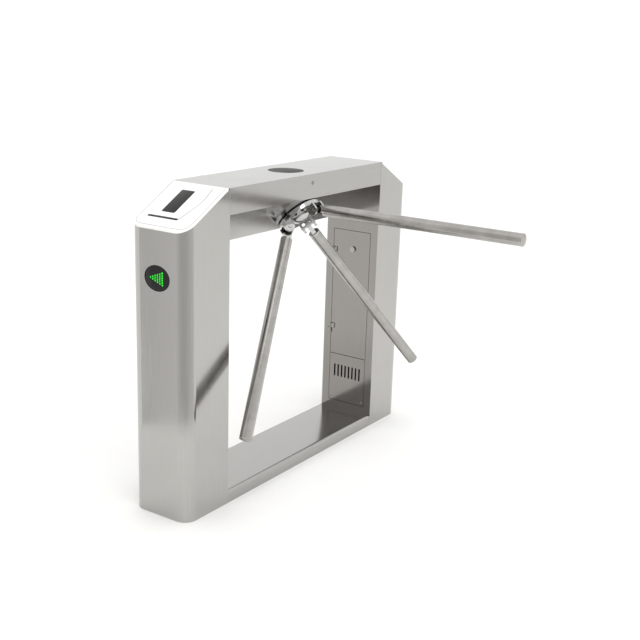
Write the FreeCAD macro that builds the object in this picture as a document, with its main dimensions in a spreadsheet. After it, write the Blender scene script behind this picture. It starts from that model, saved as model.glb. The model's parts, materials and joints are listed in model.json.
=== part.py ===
"""Bridge tripod turnstile that counts visitors: two columns, a beam, a base and three arms.

Frame: origin on the floor under the middle of the cabinet, +Z up, +X along the cabinet
from the near column to the far one, -Y towards the passage that the arms close.
All lengths are millimetres.
"""
import FreeCAD, Part
import math
import os
import Sketcher

V = FreeCAD.Vector
doc = FreeCAD.newDocument("visitor_turnstile")

# ------------------------------------------------------------------ driving dimensions
DIMENSIONS = {
    "length": 1210, "width": 216, "height": 980, "sheet": 2,
    "column": 190, "slope_run": 183, "slope_drop": 103, "corner_radius": 42,
    "face_height": 78, "bevel_run": 108, "base_height": 42, "lid_thick": 2,
    "cover_thick": 6, "window_length": 104, "window_width": 50, "window_start": 72,
    "strip_length": 113, "strip_width": 8, "strip_start": 44, "reader_offset": 15,
    "lens_width": 96, "lens_height": 76, "lens_level": 733,
    "door_width": 156, "door_low": 66, "door_split": 250, "door_top": 724, "door_gap": 1.5,
    "vent_low": 163, "vent_high": 209, "vent_width": 6.4, "vent_pitch": 15.4,
    "anchor_radius": 7, "anchor_across": 140, "anchor_along": 110, "cable_radius": 25,
    "foot_thick": 8, "top_window_radius": 58,
    "hub_radius": 76, "hub_thick": 14, "hub_gap": 3, "pivot_radius": 64, "pivot_out": 34,
    "arm_radius": 19, "arm_wall": 1.5, "arm_reach": 805, "tongue": 14, "cheek_gap": 34,
    "cheek": 8, "cheek_round": 17, "pin_radius": 5, "fit_gap": 0.05,
    "shaft_radius": 12.5, "gear_module": 2, "gear_teeth": 48, "pinion_teeth": 16,
}

sheet = doc.addObject("Spreadsheet::Sheet", "Sizes")
for row, (alias, number) in enumerate(DIMENSIONS.items(), start=1):
    sheet.set("A%d" % row, alias)
    sheet.set("B%d" % row, str(number))
    sheet.setAlias("B%d" % row, alias)
doc.recompute()


class Size:
    """A number together with the sheet expression that gives it."""

    def __init__(self, value, text):
        self.value = value
        self.text = text

    def __add__(self, other):
        other = size(other)
        return Size(self.value + other.value, "(%s + %s)" % (self.text, other.text))

    def __sub__(self, other):
        other = size(other)
        return Size(self.value - other.value, "(%s - %s)" % (self.text, other.text))

    def __mul__(self, other):
        other = size(other)
        return Size(self.value * other.value, "(%s * %s)" % (self.text, other.text))

    def __truediv__(self, other):
        other = size(other)
        return Size(self.value / other.value, "(%s / %s)" % (self.text, other.text))

    def __rsub__(self, other):
        return size(other) - self

    def __neg__(self):
        return self * -1

    __radd__ = __add__
    __rmul__ = __mul__


def size(thing):
    """Return thing as a Size; a plain number becomes a constant expression."""
    return thing if isinstance(thing, Size) else Size(float(thing), "(%.6f)" % thing)


def cell(alias):
    """Return the sheet cell of that alias as a Size."""
    return Size(float(DIMENSIONS[alias]), "Sizes." + alias)


# ------------------------------------------------------------------ modelling helpers
SUBPARTS = []


def bind(thing, prop, amount):
    """Tie one property to an expression of sheet cells."""
    thing.setExpression(prop, size(amount).text)


def move(thing, x, y, z):
    """Tie the place of a piece to expressions."""
    for letter, amount in zip("xyz", (x, y, z)):
        bind(thing, "Placement.Base." + letter, amount)


def keep(thing, label):
    """Make thing a sub-part of that name."""
    thing.Label = label
    SUBPARTS.append(thing)
    return thing


def box(low, high):
    """Block between two corners."""
    made = doc.addObject("Part::Box", "Block")
    for prop, start, end in zip(("Length", "Width", "Height"), low, high):
        bind(made, prop, size(end) - start)
    move(made, *low)
    return made


TURN_TO = {
    "z": FreeCAD.Rotation(),
    "x": FreeCAD.Rotation(V(0, 1, 0), 90),
    "y": FreeCAD.Rotation(V(1, 0, 0), -90),
}


def rod(radius, length, start, axis="z"):
    """Cylinder that grows from its start along an axis."""
    made = doc.addObject("Part::Cylinder", "Rod")
    bind(made, "Radius", radius)
    bind(made, "Height", length)
    made.Placement = FreeCAD.Placement(V(0, 0, 0), TURN_TO[axis])
    move(made, *start)
    return made


def join(pieces):
    """Fuse several solids that touch into one."""
    if len(pieces) == 1:
        return pieces[0]
    made = doc.addObject("Part::MultiFuse", "Joined")
    made.Shapes = pieces
    return made


def cut(base, tools):
    """Cut tools from a base."""
    made = doc.addObject("Part::Cut", "Cut")
    made.Base = base
    made.Tool = join(tools)
    return made


def together(pieces):
    """Group of separate solids in one sub-part."""
    made = doc.addObject("Part::Compound", "Group")
    made.Links = pieces
    return made


def tube(outer, inner, length, start, axis="z"):
    """Round tube or ring."""
    return cut(rod(outer, length, start, axis), [rod(inner, length, start, axis)])


PLANES = {"XY": "XY_Plane", "XZ": "XZ_Plane", "YZ": "YZ_Plane"}


def new_body(label):
    """Empty PartDesign body that is a sub-part by itself."""
    return keep(draft_body(), label)


def draft_body():
    """Empty PartDesign body that a later cut turns into a sub-part."""
    return doc.addObject("PartDesign::Body", "Body")


def draw(body, plane, outlines, offset=0):
    """Closed outlines in a plane of the body.

    An outline is a list of points. A point (x, y) starts a line to the next one, and
    a point (x, y, cx) starts a short arc to the next one about a centre at x = cx.
    """
    sketch = body.newObject("Sketcher::SketchObject", "Outline")
    planes = body.Origin.OriginFeatures
    sketch.AttachmentSupport = [(item, "") for item in planes if item.Role == PLANES[plane]]
    sketch.MapMode = "FlatFace"
    bind(sketch, "AttachmentOffset.Base.z", offset)
    for outline in outlines:
        draw_outline(sketch, [[size(amount) for amount in point] for point in outline])
    return sketch


def draw_outline(sketch, points):
    """Add one closed outline, with every corner tied to the sheet."""
    first = sketch.GeometryCount
    ends = []
    for here, there in zip(points, points[1:] + points[:1]):
        a = V(here[0].value, here[1].value, 0)
        b = V(there[0].value, there[1].value, 0)
        if len(here) == 2:
            sketch.addGeometry(Part.LineSegment(a, b), False)
            ends.append((1, 2))
        else:
            ends.append(draw_arc(sketch, a, b, here[2].value))
    count = len(points)
    for index, point in enumerate(points):
        nxt = (index + 1) % count
        sketch.addConstraint(Sketcher.Constraint(
            "Coincident", first + index, ends[index][1], first + nxt, ends[nxt][0]))
        pin_down(sketch, first + index, ends[index][0], point[:2])
        if len(point) == 3:
            pin_down(sketch, first + index, 3, point[2:])


def draw_arc(sketch, a, b, centre_x):
    """Add the short arc from a to b; return which of its ends is a and which is b."""
    middle = (a + b) * 0.5
    across = b - a
    normal = V(-across.y, across.x, 0)
    centre = middle + normal * ((centre_x - middle.x) / normal.x)
    start = math.atan2(a.y - centre.y, a.x - centre.x)
    end = math.atan2(b.y - centre.y, b.x - centre.x)
    forward = (end - start) % (2 * math.pi) < math.pi
    circle = Part.Circle(centre, V(0, 0, 1), (a - centre).Length)
    if forward:
        sketch.addGeometry(Part.ArcOfCircle(circle, start, end), False)
        return (1, 2)
    sketch.addGeometry(Part.ArcOfCircle(circle, end, start), False)
    return (2, 1)


def pin_down(sketch, geometry, end, amounts):
    """Tie the x, or the x and y, of one point of the sketch to the sheet."""
    for kind, amount in zip(("DistanceX", "DistanceY"), amounts):
        number = sketch.addConstraint(Sketcher.Constraint(kind, -1, 1, geometry, end, amount.value))
        sketch.setExpression("Constraints[%d]" % number, amount.text)


def pad(body, sketch, length, back=False):
    """Pad a sketch."""
    feature = body.newObject("PartDesign::Pad", "Pad")
    feature.Profile = sketch
    bind(feature, "Length", length)
    feature.Reversed = back
    body.Tip = feature
    return feature


def pocket_through(body, sketch):
    """Cut a sketch through everything, both ways from its plane."""
    before = body.Tip.Shape.Volume
    feature = body.newObject("PartDesign::Pocket", "Pocket")
    feature.Profile = sketch
    feature.Type = "ThroughAll"
    feature.Midplane = True
    body.Tip = feature
    doc.recompute()
    if feature.Shape.Volume > before - 1:
        raise SystemExit("a pocket in %s cut nothing" % body.Label)
    return feature


def revolve(body, sketch, axis="V_Axis"):
    """Turn a sketch round one of its own axes."""
    feature = body.newObject("PartDesign::Revolution", "Turned")
    feature.Profile = sketch
    feature.ReferenceAxis = (sketch, [axis])
    feature.Angle = 360
    body.Tip = feature
    return feature


def ring_of(body, sketch, originals, count):
    """Repeat features round the sketch's normal."""
    feature = body.newObject("PartDesign::PolarPattern", "Ring")
    feature.Originals = originals
    feature.Axis = (sketch, ["N_Axis"])
    feature.Angle = 360
    bind(feature, "Occurrences", count)
    body.Tip = feature
    return feature


# ------------------------------------------------------------------ places used by many pieces
length, width, height = cell("length"), cell("width"), cell("height")
thick, column = cell("sheet"), cell("column")
end_x = length / 2
arch_x = end_x - column
slope_x = end_x - cell("slope_run")
side_y = width / 2
face_low = height - cell("face_height")
arch_top = face_low - cell("bevel_run")
base_top = cell("base_height")
lid_low = height - cell("lid_thick")
reader_low = height - cell("slope_drop")
SIDES = (("near", -1), ("far", 1))

hub_y = cell("bevel_run") / 2 - side_y
hub_z = face_low - cell("bevel_run") / 2
TILT = FreeCAD.Placement(V(0, hub_y.value, hub_z.value), FreeCAD.Rotation(V(1, 0, 0), -45))
pivot_r, pivot_z = cell("pivot_radius"), -cell("pivot_out")
APEX = V(0, 0, (pivot_z + pivot_r).value)


def placed(thing, placement):
    """Put a further placement on a piece whose own place is tied to the sheet."""
    if thing.ExpressionEngine:
        thing = together([thing])
    thing.Placement = placement.multiply(thing.Placement)
    return thing


def tilted(thing, label):
    """Set a mechanism piece, drawn square, onto the 45 degree slope of the beam.

    Before the turn, +Z runs into the beam along the rotor's axis, +Y down the slope.
    """
    return keep(placed(thing, TILT), label)


# ------------------------------------------------------------------ columns
def wall_outline(side, radius, inset):
    """Corner points of a column's outline, from its arch side round the outer end."""
    flat, outer = side_y - inset, end_x - inset
    bend = radius - inset
    return [
        (side * arch_x, -flat),
        (side * (outer - bend), -flat, side * (outer - bend)),
        (side * outer, bend - flat),
        (side * outer, flat - bend, side * (outer - bend)),
        (side * (outer - bend), flat),
        (side * arch_x, flat),
    ]


def sloped_line(side, below):
    """Two points of the reader slope, moved down by an amount: outer end, then inner."""
    return [
        (side * end_x, reader_low - below),
        (side * slope_x, height - below),
    ]


def column_shell(name, side):
    """Wrapped sheet: front, rounded outer end and back, with the lens opening."""
    body = draft_body()
    radius = cell("corner_radius")
    outer = wall_outline(side, radius, 0)
    inner = wall_outline(side, radius, thick)
    wall = outer + turned_round(inner)
    pad(body, draw(body, "XY", [wall]), height)
    doc.recompute()
    low, high = sloped_line(side, cell("cover_thick"))
    above = [low, high, (side * arch_x, lid_low), (side * (arch_x - 5), lid_low),
             (side * (arch_x - 5), height + 5), (side * (end_x + 5), height + 5),
             (side * (end_x + 5), low[1])]
    pocket_through(body, draw(body, "XZ", [above]))
    lens_hole = ellipse_plate(cell("lens_width") / 2, cell("lens_height") / 2, 20, side * end_x - 10)
    keep(cut(body, [lens_hole]), name + "_column_shell")


def turned_round(points):
    """The same outline walked the other way."""
    back = list(reversed(points))
    turned = []
    for index, point in enumerate(back):
        following = back[index + 1] if index + 1 < len(back) else ()
        turned.append(tuple(point[:2]) + tuple(following[2:]))
    return turned


def ellipse_plate(half_width, half_height, depth, start_x):
    """Oval plate facing along X at the level of the direction lens."""
    curve = doc.addObject("Part::Ellipse", "Oval")
    bind(curve, "MajorRadius", half_width)
    bind(curve, "MinorRadius", half_height)
    plate = doc.addObject("Part::Extrusion", "OvalPlate")
    plate.Base = curve
    plate.DirMode = "Custom"
    plate.Dir = V(0, 0, 1)
    bind(plate, "LengthFwd", depth)
    plate.Solid = True
    plate.Placement = FreeCAD.Placement(V(0, 0, 0), FreeCAD.Rotation(V(0, 1, 0), V(0, 0, 1), V(1, 0, 0)))
    move(plate, start_x, 0, cell("lens_level"))
    return plate


def door_frame(name, side):
    """Inner face of a column: a sheet with the service opening, closed up to the beam's slope."""
    body = new_body(name + "_door_frame")
    half = cell("door_width") / 2
    flat = side_y - thick
    slope_foot = cell("bevel_run") - side_y
    sheet_outline = [(-flat, base_top), (flat, base_top), (flat, arch_top),
                     (slope_foot, arch_top), (-flat, face_low - thick)]
    opening = [(-half, cell("door_low")), (half, cell("door_low")),
               (half, cell("door_top")), (-half, cell("door_top"))]
    low = arch_x if side > 0 else -arch_x - thick
    pad(body, draw(body, "YZ", [sheet_outline, opening], low), thick)


HINGE_OUT = 3.5
KNUCKLE = 3.0
PIN = 1.5
hinge_y = cell("door_width") / 2 - 0.5
HINGE_LEVELS = (330, 620)
KNUCKLE_LENGTH = 18
CAM_Y, CAM_Z = -6, 656
PAST = 10


def door_panel(name, side):
    """Service door with the moving hinge knuckles on its back edge."""
    half = cell("door_width") / 2 - cell("door_gap")
    inner = side * arch_x
    low_x = inner if side > 0 else inner - thick
    top = cell("door_top") - cell("door_gap")
    plate = box((low_x, -half, cell("door_split") + 1), (low_x + thick, half, top))
    lock_hole = rod(7, 2 * PAST, (inner - PAST, CAM_Y, CAM_Z), "x")
    pieces = [cut(plate, [lock_hole])]
    bores = []
    pivot_x = inner - side * HINGE_OUT
    leaf_low = pivot_x if side > 0 else inner
    for level in HINGE_LEVELS:
        start = level + KNUCKLE_LENGTH + 0.5
        end = start + KNUCKLE_LENGTH
        pieces.append(rod(KNUCKLE, KNUCKLE_LENGTH, (pivot_x, hinge_y, start)))
        pieces.append(box((leaf_low, hinge_y - 16, start), (leaf_low + HINGE_OUT, hinge_y - 1, end)))
        bores.append(rod(PIN + cell("fit_gap"), 60, (pivot_x, hinge_y, level - 5)))
    keep(cut(join(pieces), bores), name + "_door")


VENTS = 8


def vent_panel(side):
    """Fixed lower panel with its row of upright vent slots."""
    half = cell("door_width") / 2 - cell("door_gap")
    low_x = arch_x if side > 0 else -arch_x - thick
    low = cell("door_low") + cell("door_gap")
    plate = box((low_x, -half, low), (low_x + thick, half, cell("door_split") - 1))
    reach = cell("vent_width") / 2
    slots = []
    for index in range(VENTS):
        middle = (index - (VENTS - 1) / 2) * cell("vent_pitch")
        slots.append(box((low_x - PAST, middle - reach, cell("vent_low")),
                         (low_x + PAST, middle + reach, cell("vent_high"))))
    return cut(plate, slots)


def door_lock(name, side):
    """Quarter-turn cam lock: knob outside, barrel through the door, tongue inside."""
    inner = side * arch_x
    knob_start = inner - 6.4 if side > 0 else inner + 0.4
    barrel_start = inner - 0.4 if side > 0 else inner - 8
    tongue_low = inner + 5 if side > 0 else inner - 7
    knob = rod(10, 6, (knob_start, CAM_Y, CAM_Z), "x")
    barrel = rod(6.7, 8.4, (barrel_start, CAM_Y, CAM_Z), "x")
    tongue = box((tongue_low, CAM_Y - 8, CAM_Z - 8), (tongue_low + 2, 65, CAM_Z + 8))
    keep(join([knob, barrel, tongue]), name + "_door_lock")


def reader_cover(name, side):
    """White moulded cover on the slope, with the reader and strip openings."""
    body = draft_body()
    radius = cell("corner_radius")
    plan = wall_outline(side, radius, 0)
    plan[0] = (side * slope_x, plan[0][1])
    plan[-1] = (side * slope_x, plan[-1][1])
    pad(body, draw(body, "XY", [plan]), height)
    doc.recompute()
    top = sloped_line(side, 0)
    under = sloped_line(side, cell("cover_thick"))
    above = [top[0], top[1], (side * slope_x, height + 5), (side * (end_x + 5), height + 5),
             (side * (end_x + 5), top[0][1])]
    below = [under[0], under[1], (side * (slope_x - 5), under[1][1]), (side * (slope_x - 5), -5),
             (side * (end_x + 5), -5), (side * (end_x + 5), under[0][1])]
    pocket_through(body, draw(body, "XZ", [above]))
    pocket_through(body, draw(body, "XZ", [below]))
    openings = [slope_block(side, *READER_WINDOW, grow=0.3), slope_block(side, *STATUS_STRIP, grow=0.3)]
    keep(cut(body, openings), name + "_reader_cover")


slope_angle = math.degrees(math.atan2(DIMENSIONS["slope_drop"], DIMENSIONS["slope_run"]))
READER_WINDOW = (cell("window_start"), cell("window_length"), cell("window_width"), 0, 8)
STATUS_STRIP = (cell("strip_start"), cell("strip_width"), cell("strip_length"), 0, 8)
READER_BOARD = (cell("window_start") - 5, cell("window_length") + 10, cell("window_width") + 30, 14, 2)


def slope_block(side, start, run, across, depth, deep, grow=0):
    """Block let into the slope: start and run along it from the low end, depth below it."""
    made = doc.addObject("Part::Box", "SlopeBlock")
    bind(made, "Length", run + 2 * grow)
    bind(made, "Width", across + 2 * grow)
    bind(made, "Height", deep)
    flip = FreeCAD.Rotation(V(0, 0, 1), 0 if side < 0 else 180)
    rise = FreeCAD.Rotation(V(0, 1, 0), -slope_angle)
    corner_y = -across.value / 2 - grow + (-side) * DIMENSIONS["reader_offset"]
    corner = V(start.value - grow, corner_y, -depth - deep)
    home = V(side * end_x.value, 0, reader_low.value)
    made.Placement = FreeCAD.Placement(home, flip.multiply(rise)).multiply(
        FreeCAD.Placement(corner, FreeCAD.Rotation()))
    return made


LAMP = 3
LAMP_HIGH = 4
LAMP_RANKS, LAMP_TIP, LAMP_STEP, LAMP_RISE = 6, 25, 8.8, 6.8


def arrow_lights(side):
    """Circuit board behind the lens with the lamps that draw the direction arrow."""
    face = side * (end_x - 14)
    level = cell("lens_level")
    board_low = face - LAMP_HIGH if side > 0 else face + LAMP_HIGH - 2
    pieces = [box((board_low, -48, level - 36), (board_low + 2, 48, level + 36))]
    start = face - LAMP_HIGH + 2 if side > 0 else face
    for rank in range(LAMP_RANKS):
        across = -side * (LAMP_TIP - rank * LAMP_STEP)
        for step in range(rank + 1):
            rise = (step - rank / 2) * LAMP_RISE
            pieces.append(rod(LAMP, LAMP_HIGH - 2, (start, across, level + rise), "x"))
    return pieces


def foot_plate(side):
    """Floor plate of a column with its anchor holes and cable entry."""
    middle = side * (end_x - column / 2)
    half_x = column / 2 - 4
    plate = box((middle - half_x, 6 - side_y, 0), (middle + half_x, side_y - 6, cell("foot_thick")))
    tools = [rod(cell("cable_radius"), 2 * PAST, (middle, 0, -PAST / 2))]
    for across in (-1, 1):
        for along in (-1, 1):
            x = middle + along * cell("anchor_along") / 2
            y = across * cell("anchor_across") / 2
            tools.append(rod(cell("anchor_radius"), 2 * PAST, (x, y, -PAST / 2)))
    corner = 26
    for across in (-1, 1):
        outer = side * (end_x - 4)
        low_x = outer - corner if side > 0 else outer
        low_y = side_y - 6 - corner if across > 0 else 6 - side_y
        tools.append(box((low_x, low_y, -PAST / 2), (low_x + corner, low_y + corner, 2 * PAST)))
    return cut(plate, tools)


for name, side in SIDES:
    column_shell(name, side)
    door_frame(name, side)
    door_panel(name, side)
    door_lock(name, side)
    reader_cover(name, side)
keep(together([vent_panel(side) for _, side in SIDES]), "vent_panels")
keep(together([slope_block(side, *READER_WINDOW) for _, side in SIDES]), "reader_windows")
keep(together([slope_block(side, *STATUS_STRIP) for _, side in SIDES]), "status_strips")
keep(together([slope_block(side, *READER_BOARD) for _, side in SIDES]), "reader_boards")
keep(together([piece for _, side in SIDES for piece in arrow_lights(side)]), "arrow_lights")
keep(together([foot_plate(side) for _, side in SIDES]), "foot_plates")


def indicator_lens(side):
    """Smoked oval lens let flush into the outer end of a column."""
    start = end_x - 5 if side > 0 else -end_x
    return ellipse_plate(cell("lens_width") / 2 - 0.3, cell("lens_height") / 2 - 0.3, 5, start)


keep(together([indicator_lens(side) for _, side in SIDES]), "indicator_lenses")


# ------------------------------------------------------------------ beam and base
def hub_opening(radius):
    """Round cutter through the slope of the beam, along the rotor's axis."""
    return placed(rod(radius, 60, (0, 0, -30)), TILT)


LOCK_LEVEL = 951


def beam_front_panel():
    """Bent sheet: upright face, 45 degree slope for the rotor, return under the beam."""
    body = draft_body()
    front, low, under = -side_y, face_low, arch_top
    fold = thick * 0.4142
    profile = [
        (front, lid_low), (front, low), (front + cell("bevel_run"), under), (6, under),
        (6, under + thick), (front + cell("bevel_run") + fold, under + thick),
        (front + thick, low + fold), (front + thick, lid_low),
    ]
    pad(body, draw(body, "YZ", [profile], -arch_x), 2 * arch_x)
    lock_hole = rod(6.5, 20, (0, front - 10, LOCK_LEVEL), "y")
    keep(cut(body, [hub_opening(30), lock_hole]), "beam_front_panel")


def beam_rear_panel():
    """Bent sheet: back face and the rest of the underside."""
    body = new_body("beam_rear_panel")
    profile = [
        (side_y, lid_low), (side_y, arch_top), (6.2, arch_top), (6.2, arch_top + thick),
        (side_y - thick, arch_top + thick), (side_y - thick, lid_low),
    ]
    pad(body, draw(body, "YZ", [profile], -arch_x), 2 * arch_x)


def base_cover():
    """Channel-shaped cover between the columns with rounded top edges."""
    body = new_body("base_cover")
    bend, flat = 10, side_y - 10
    inner = side_y - thick
    profile = [
        (-side_y, 0), (-side_y, base_top - bend, -flat), (-flat, base_top),
        (flat, base_top, flat), (side_y, base_top - bend), (side_y, 0),
        (inner, 0), (inner, base_top - bend, flat), (flat, base_top - thick),
        (-flat, base_top - thick, -flat), (-inner, base_top - bend), (-inner, 0),
    ]
    pad(body, draw(body, "YZ", [profile], -arch_x), 2 * arch_x)


def base_channel():
    """Steel channel under the cover that ties the two floor plates and carries cables."""
    body = new_body("base_channel")
    low, high = cell("foot_thick"), cell("foot_thick") + 26
    out, inside, floor = 50, 46, low + 4
    profile = [
        (-out, low), (out, low), (out, high), (inside, high),
        (inside, floor), (-inside, floor), (-inside, high), (-out, high),
    ]
    reach = arch_x + 55
    pad(body, draw(body, "YZ", [profile], -reach), 2 * reach)


beam_front_panel()
beam_rear_panel()
base_cover()
base_channel()

LID_PIVOT = (side_y + HINGE_OUT, height - 4)
LID_HINGES = (-300, 300)


def top_lid():
    """Flat lid with the hook that the lock catches and the moving hinge knuckles."""
    edge = slope_x - 0.3
    plate = box((-edge, -side_y, lid_low), (edge, side_y, height))
    pieces = [cut(plate, [rod(cell("top_window_radius") + 0.3, 20, (0, 0, lid_low - 10))])]
    keeper_front, keeper_back = 10 - side_y, 13 - side_y
    keeper_low = height - 40
    leg = box((9, keeper_front, keeper_low), (20, keeper_back, lid_low))
    hook = box((9.5, keeper_back, keeper_low + 1), (19.5, keeper_back + 5, keeper_low + 5))
    bores = []
    for start in LID_HINGES:
        pieces.append(rod(KNUCKLE, 25, (start + 0.5, *LID_PIVOT), "x"))
        pieces.append(box((start + 0.5, side_y - 2, lid_low), (start + 25.5, side_y + HINGE_OUT, height)))
        bores.append(rod(PIN + cell("fit_gap"), 80, (start - 30, *LID_PIVOT), "x"))
    keep(together([cut(join(pieces), bores), leg, hook]), "top_lid")


def hinge_pins():
    """Fixed knuckles, leaves and pins of the lid and of both doors."""
    pieces = []
    for start in LID_HINGES:
        knuckle = rod(KNUCKLE, 25, (start - 25, *LID_PIVOT), "x")
        leaf = box((start - 25, side_y, height - 16), (start, side_y + HINGE_OUT, height - 4))
        pieces.append(join([knuckle, leaf, rod(PIN, 50, (start - 25, *LID_PIVOT), "x")]))
    for _, side in SIDES:
        pivot_x = side * (arch_x - HINGE_OUT)
        leaf_low = pivot_x if side > 0 else pivot_x - HINGE_OUT
        for level in HINGE_LEVELS:
            top = level + KNUCKLE_LENGTH
            knuckle = rod(KNUCKLE, KNUCKLE_LENGTH, (pivot_x, hinge_y, level))
            leaf = box((leaf_low, hinge_y + 1, level), (leaf_low + HINGE_OUT, hinge_y + 14, top))
            pin = rod(PIN, 2 * KNUCKLE_LENGTH, (pivot_x, hinge_y, level))
            pieces.append(join([knuckle, leaf, pin]))
    keep(together(pieces), "hinge_pins")


def lid_lock():
    """Quarter-turn key lock of the lid, turned open: barrel in the front face, tongue inside."""
    face = -side_y
    barrel = rod(6.2, 20, (0, face - 1.5, LOCK_LEVEL), "y")
    key_slot = box((-0.8, face - 3, LOCK_LEVEL - 4), (0.8, face + 3, LOCK_LEVEL + 4))
    tongue = box((-5, face + 14, LOCK_LEVEL - 6), (5, face + 16, LOCK_LEVEL + 22))
    keep(cut(join([barrel, tongue]), [key_slot]), "lid_lock")


top_lid()
keep(rod(cell("top_window_radius"), 6, (0, 0, height - 5.2)), "top_window")
hinge_pins()
lid_lock()

# ------------------------------------------------------------------ electrics
floor = arch_top + thick
board_low = floor + 16
board_top = board_low + 2
board_pieces = [box((-340, 10, board_low), (-180, 100, board_top))]
for stand_x in (-332, -188):
    for stand_y in (18, 92):
        board_pieces.append(rod(4, board_low - floor, (stand_x, stand_y, floor)))
for chip_x, chip_y, chip_length in ((-320, 40, 40), (-260, 30, 25), (-215, 50, 18)):
    corner = (chip_x + chip_length, chip_y + 22, board_top + 12)
    board_pieces.append(box((chip_x, chip_y, board_top), corner))
keep(join(board_pieces), "control_board")

wall = end_x - thick
supply_low, supply_high = 300, 460
supply = box((wall - 50, -50, supply_low), (wall, 50, supply_high))
grooves = []
for step in range(6):
    groove_y = step * 12 - 36
    grooves.append(box((wall - 60, groove_y, supply_low + 20), (wall - 44, groove_y + 6, supply_high - 20)))
keep(cut(supply, grooves), "power_supply")
case_depth = 38
counter_case = box((-wall, -42, 540), (case_depth - wall, 42, 610))
display_recess = box((case_depth - 2 - wall, -30, 570), (case_depth + 7 - wall, 30, 596))
keep(cut(counter_case, [display_recess]), "counter_module")

# ------------------------------------------------------------------ rotor mechanism
PLATE_LOW, PLATE_HIGH = 30, 38
BEARING = 22
PAWL_X, PAWL_Y = 58.5, 52
PAWL_LOW, PAWL_THICK = 94, 8
PLUNGER_Y, PLUNGER_Z = 80, 98
GEAR_LOW, GEAR_THICK = 106, 8
DISC_LOW, DISC_THICK = 119, 1.5
GEAR_GAP = cell("gear_module") * (cell("gear_teeth") + cell("pinion_teeth")) / 2
shaft_r = cell("shaft_radius")

plate = box((-160, -60, PLATE_LOW), (160, 95, PLATE_HIGH))
tilted(cut(plate, [rod(18, 20, (0, 0, PLATE_LOW - 5))]), "mechanism_plate")
standoffs = [rod(7, PLATE_LOW - thick, (x, y, thick)) for x in (-130, 130) for y in (-45, 60)]
tilted(together(standoffs), "plate_standoffs")
housing = join([rod(40, 10, (0, 0, PLATE_HIGH)), rod(28, 52, (0, 0, PLATE_HIGH))])
tilted(cut(housing, [rod(BEARING, 70, (0, 0, PLATE_HIGH - 5))]), "bearing_housing")
tilted(together([tube(BEARING, shaft_r + cell("fit_gap"), 12, (0, 0, start)) for start in (38, 78)]),
       "shaft_bearings")
damper = rod(22, 52, (0, GEAR_GAP, PLATE_HIGH))
tilted(cut(damper, [rod(5 + cell("fit_gap"), 60, (0, GEAR_GAP, 60))]), "damper_housing")
tilted(together([rod(4, 68, (side * PAWL_X, PAWL_Y, PLATE_HIGH)) for _, side in SIDES]), "pawl_pins")


def solenoid(side):
    """Lock solenoid on its foot, with a blind bore for the plunger."""
    low = 100 if side > 0 else -150
    case = box((low, 66, 86), (low + 50, 94, 110))
    foot = box((low, 74, PLATE_HIGH), (low + 50, 86, 86))
    bore_start = 98 if side > 0 else -146
    bore = rod(4 + cell("fit_gap"), 48, (bore_start, PLUNGER_Y, PLUNGER_Z), "x")
    return cut(join([case, foot]), [bore])


tilted(together([solenoid(side) for _, side in SIDES]), "lock_solenoids")
tilted(rod(4, 90, (-76, 0, PLATE_HIGH)), "sensor_post")
sensor_pieces = [box((-84, -16, 128), (-36, 16, 129.6))]
fork_under, fork_over = DISC_LOW - 0.8, DISC_LOW + 3
for fork_low in (-14, 4):
    fork_high = fork_low + 10
    lower = box((-52, fork_low, 115.5), (-34, fork_high, fork_under))
    web = box((-52, fork_low, fork_under), (-46, fork_high, fork_over))
    upper = box((-52, fork_low, fork_over), (-34, fork_high, 128))
    sensor_pieces.append(join([lower, web, upper]))
tilted(together(sensor_pieces), "counter_sensors")
tilted(tube(29.8, 25.5, 4, (0, 0, -1)), "hub_seal")

PAWL_HIGH = PAWL_LOW + PAWL_THICK
LEVER_IN, LEVER_OUT, NOSE_IN = 54, 63, 46.5
for name, side in SIDES:
    lever_x = sorted((side * LEVER_IN, side * LEVER_OUT))
    nose_x = sorted((side * NOSE_IN, side * LEVER_OUT))
    lever = box((lever_x[0], -4, PAWL_LOW), (lever_x[1], 84, PAWL_HIGH))
    nose = box((nose_x[0], -4, PAWL_LOW), (nose_x[1], 2, PAWL_HIGH))
    boss = rod(9, PAWL_THICK, (side * PAWL_X, PAWL_Y, PAWL_LOW))
    bore = rod(4 + cell("fit_gap"), 2 * PAST, (side * PAWL_X, PAWL_Y, PAWL_LOW - 6))
    tilted(cut(join([lever, nose, boss]), [bore]), name + "_pawl")
    plunger_start = 64.5 if side > 0 else -140
    tilted(rod(4, 75.5, (plunger_start, PLUNGER_Y, PLUNGER_Z), "x"), name + "_plunger")


def toothed_wheel(teeth, start, thickness, bore):
    """Gear: a turned blank and one tooth repeated round it."""
    body = draft_body()
    pitch = cell("gear_module") * teeth / 2
    root, tip = pitch - 2.4, pitch + 1.4
    blank = [(bore, start), (root, start), (root, start + thickness), (bore, start + thickness)]
    revolve(body, draw(body, "XZ", [blank]))
    tooth = [(root - 1, -1.5), (tip, -0.6), (tip, 0.6), (root - 1, 1.5)]
    tooth_sketch = draw(body, "XY", [tooth], start)
    feature = pad(body, tooth_sketch, thickness)
    doc.recompute()
    ring_of(body, tooth_sketch, [feature], teeth)
    return body


def notched_wheel(outer, start, thickness, notch, count):
    """Turned disc with one notch repeated round it."""
    body = draft_body()
    blank = [(shaft_r, start), (outer, start), (outer, start + thickness), (shaft_r, start + thickness)]
    revolve(body, draw(body, "XZ", [blank]))
    doc.recompute()
    notch_sketch = draw(body, "XY", [notch], start)
    feature = body.newObject("PartDesign::Pocket", "Notch")
    feature.Profile = notch_sketch
    feature.Type = "ThroughAll"
    feature.Midplane = True
    body.Tip = feature
    doc.recompute()
    ring_of(body, notch_sketch, [feature], count)
    return body


def turned_piece(outline):
    """Body turned round Z from a half section of radius and height."""
    body = draft_body()
    revolve(body, draw(body, "XZ", [outline]))
    return body


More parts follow.
